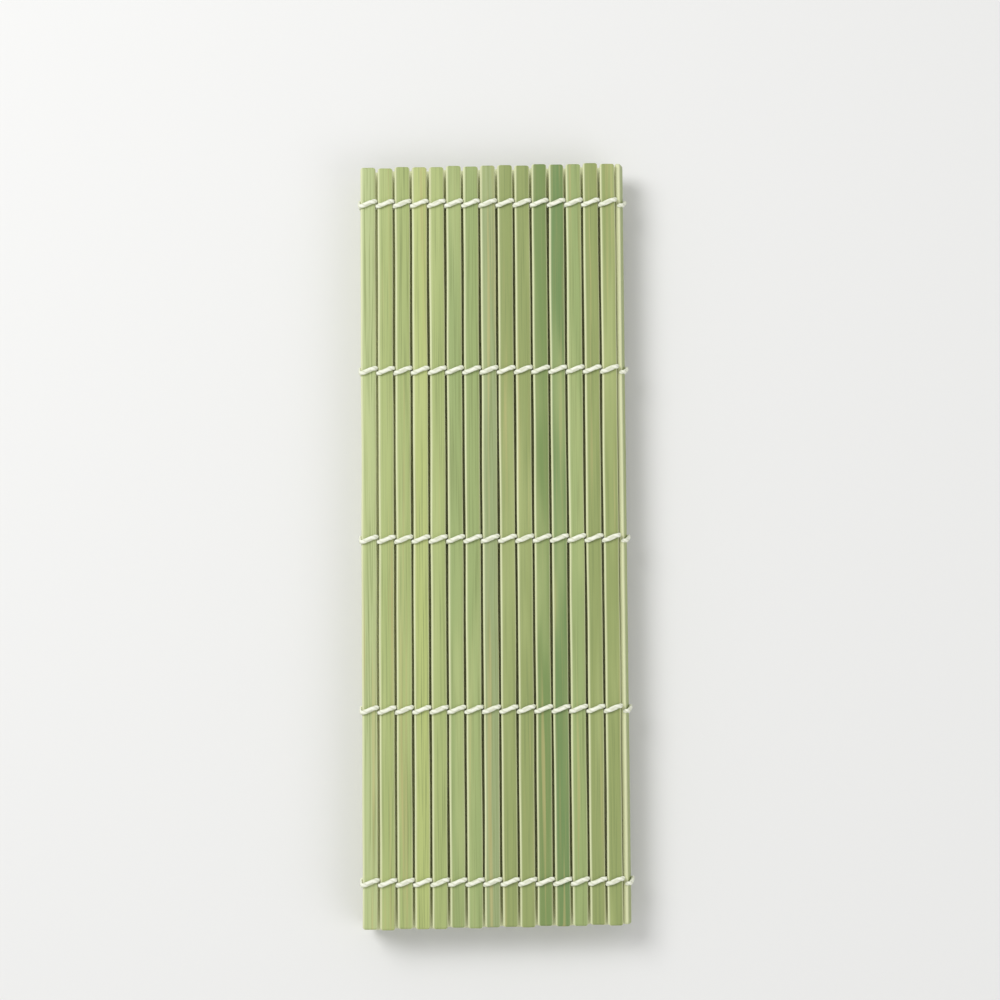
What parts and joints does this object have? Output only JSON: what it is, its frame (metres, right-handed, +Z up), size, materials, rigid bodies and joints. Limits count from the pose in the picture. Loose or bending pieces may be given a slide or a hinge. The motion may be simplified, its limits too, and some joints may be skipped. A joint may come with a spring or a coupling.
{
  "type": "sushi rolling mat",
  "caption": "Green bamboo rolling mat of flat slats twined together with cotton cord, folded in three; it unfolds flat and its free end rolls up.",
  "frame": {"origin": "on the floor, at the centre of the folded mat's box", "axes": "+Y along the slats, +X across them towards the right fold, +Z up"},
  "size_m": [0.095, 0.2665, 0.0181],
  "materials": {
    "green_bamboo": "smooth split bamboo, green skin side up, slight sheen",
    "cotton_cord": "undyed twisted cotton"
  },
  "bodies": {
    "bottom_panel": {"slats_33_34": "green_bamboo", "slats_35_36": "green_bamboo", "slats_37_38": "green_bamboo", "slats_39_40": "green_bamboo", "slats_41_42": "green_bamboo", "slats_43_44": "green_bamboo", "slat_45": "green_bamboo", "cords_bottom": "cotton_cord", "cord_knots": "cotton_cord"},
    "left_turn": {"slat_32": "green_bamboo", "cord_32": "cotton_cord"},
    "middle_panel": {"slat_17": "green_bamboo", "slat_18": "green_bamboo", "slat_19": "green_bamboo", "slat_20": "green_bamboo", "slat_21": "green_bamboo", "slat_22": "green_bamboo", "slat_23": "green_bamboo", "slat_24": "green_bamboo", "slat_25": "green_bamboo", "slat_26": "green_bamboo", "slat_27": "green_bamboo", "slat_28": "green_bamboo", "slat_29": "green_bamboo", "slat_30": "green_bamboo", "slat_31": "green_bamboo", "cords_middle": "cotton_cord"},
    "right_turn": {"slat_16": "green_bamboo", "cord_16": "cotton_cord"},
    "top_slat_15": {"slat_15": "green_bamboo", "cord_15": "cotton_cord"},
    "top_slat_14": {"slat_14": "green_bamboo", "cord_14": "cotton_cord"},
    "top_slat_13": {"slat_13": "green_bamboo", "cord_13": "cotton_cord"},
    "top_slat_12": {"slat_12": "green_bamboo", "cord_12": "cotton_cord"},
    "top_slat_11": {"slat_11": "green_bamboo", "cord_11": "cotton_cord"},
    "top_slat_10": {"slat_10": "green_bamboo", "cord_10": "cotton_cord"},
    "top_slat_09": {"slat_09": "green_bamboo", "cord_09": "cotton_cord"},
    "top_slat_08": {"slat_08": "green_bamboo", "cord_08": "cotton_cord"},
    "top_slat_07": {"slat_07": "green_bamboo", "cord_07": "cotton_cord"},
    "top_slat_06": {"slat_06": "green_bamboo", "cord_06": "cotton_cord"},
    "top_slat_05": {"slat_05": "green_bamboo", "cord_05": "cotton_cord"},
    "top_slat_04": {"slat_04": "green_bamboo", "cord_04": "cotton_cord"},
    "top_slat_03": {"slat_03": "green_bamboo", "cord_03": "cotton_cord"},
    "top_slat_02": {"slat_02": "green_bamboo", "cord_02": "cotton_cord"},
    "top_slat_01": {"slat_01": "green_bamboo", "cord_01": "cotton_cord"}
  },
  "joints": [
    {"name": "unfold", "type": "hinge", "parent": "bottom_panel", "child": "left_turn", "pos_m": [-0.04345, 0, 0.00285], "axis": [0, -1, 0], "range_deg": [0, 75]},
    {"name": "unfold_middle", "type": "hinge", "parent": "left_turn", "child": "middle_panel", "pos_m": [-0.045, 0, 0.00865], "axis": [0, -1, 0], "range_deg": [0, 105]},
    {"name": "unfold_right", "type": "hinge", "parent": "middle_panel", "child": "right_turn", "pos_m": [0.045, 0, 0.00945], "axis": [0, 1, 0], "range_deg": [0, 105]},
    {"name": "unfold_top", "type": "hinge", "parent": "right_turn", "child": "top_slat_15", "pos_m": [0.04345, 0, 0.01524], "axis": [0, 1, 0], "range_deg": [0, 75]},
    {"name": "curl", "type": "hinge", "parent": "top_slat_15", "child": "top_slat_14", "pos_m": [0.03745, 0, 0.01564], "axis": [0, 1, 0], "range_deg": [0, 20]},
    {"name": "curl_13", "type": "hinge", "parent": "top_slat_14", "child": "top_slat_13", "pos_m": [0.03145, 0, 0.01564], "axis": [0, 1, 0], "range_deg": [0, 20]},
    {"name": "curl_12", "type": "hinge", "parent": "top_slat_13", "child": "top_slat_12", "pos_m": [0.02545, 0, 0.01564], "axis": [0, 1, 0], "range_deg": [0, 20]},
    {"name": "curl_11", "type": "hinge", "parent": "top_slat_12", "child": "top_slat_11", "pos_m": [0.01945, 0, 0.01564], "axis": [0, 1, 0], "range_deg": [0, 20]},
    {"name": "curl_10", "type": "hinge", "parent": "top_slat_11", "child": "top_slat_10", "pos_m": [0.01345, 0, 0.01564], "axis": [0, 1, 0], "range_deg": [0, 20]},
    {"name": "curl_09", "type": "hinge", "parent": "top_slat_10", "child": "top_slat_09", "pos_m": [0.00745, 0, 0.01564], "axis": [0, 1, 0], "range_deg": [0, 20]},
    {"name": "curl_08", "type": "hinge", "parent": "top_slat_09", "child": "top_slat_08", "pos_m": [0.00145, 0, 0.01564], "axis": [0, 1, 0], "range_deg": [0, 20]},
    {"name": "curl_07", "type": "hinge", "parent": "top_slat_08", "child": "top_slat_07", "pos_m": [-0.00455, 0, 0.01564], "axis": [0, 1, 0], "range_deg": [0, 20]},
    {"name": "curl_06", "type": "hinge", "parent": "top_slat_07", "child": "top_slat_06", "pos_m": [-0.01055, 0, 0.01564], "axis": [0, 1, 0], "range_deg": [0, 20]},
    {"name": "curl_05", "type": "hinge", "parent": "top_slat_06", "child": "top_slat_05", "pos_m": [-0.01655, 0, 0.01564], "axis": [0, 1, 0], "range_deg": [0, 20]},
    {"name": "curl_04", "type": "hinge", "parent": "top_slat_05", "child": "top_slat_04", "pos_m": [-0.02255, 0, 0.01564], "axis": [0, 1, 0], "range_deg": [0, 20]},
    {"name": "curl_03", "type": "hinge", "parent": "top_slat_04", "child": "top_slat_03", "pos_m": [-0.02855, 0, 0.01564], "axis": [0, 1, 0], "range_deg": [0, 20]},
    {"name": "curl_02", "type": "hinge", "parent": "top_slat_03", "child": "top_slat_02", "pos_m": [-0.03455, 0, 0.01564], "axis": [0, 1, 0], "range_deg": [0, 20]},
    {"name": "curl_01", "type": "hinge", "parent": "top_slat_02", "child": "top_slat_01", "pos_m": [-0.04055, 0, 0.01564], "axis": [0, 1, 0], "range_deg": [0, 20]}
  ],
  "couplings": [
    {"joint": "unfold_middle", "follows": "unfold", "ratio": 1.4},
    {"joint": "unfold_right", "follows": "unfold", "ratio": 1.4},
    {"joint": "unfold_top", "follows": "unfold", "ratio": 1},
    {"joint": "curl_13", "follows": "curl", "ratio": 1},
    {"joint": "curl_12", "follows": "curl", "ratio": 1},
    {"joint": "curl_11", "follows": "curl", "ratio": 1},
    {"joint": "curl_10", "follows": "curl", "ratio": 1},
    {"joint": "curl_09", "follows": "curl", "ratio": 1},
    {"joint": "curl_08", "follows": "curl", "ratio": 1},
    {"joint": "curl_07", "follows": "curl", "ratio": 1},
    {"joint": "curl_06", "follows": "curl", "ratio": 1},
    {"joint": "curl_05", "follows": "curl", "ratio": 1},
    {"joint": "curl_04", "follows": "curl", "ratio": 1},
    {"joint": "curl_03", "follows": "curl", "ratio": 1},
    {"joint": "curl_02", "follows": "curl", "ratio": 1},
    {"joint": "curl_01", "follows": "curl", "ratio": 1}
  ]
}
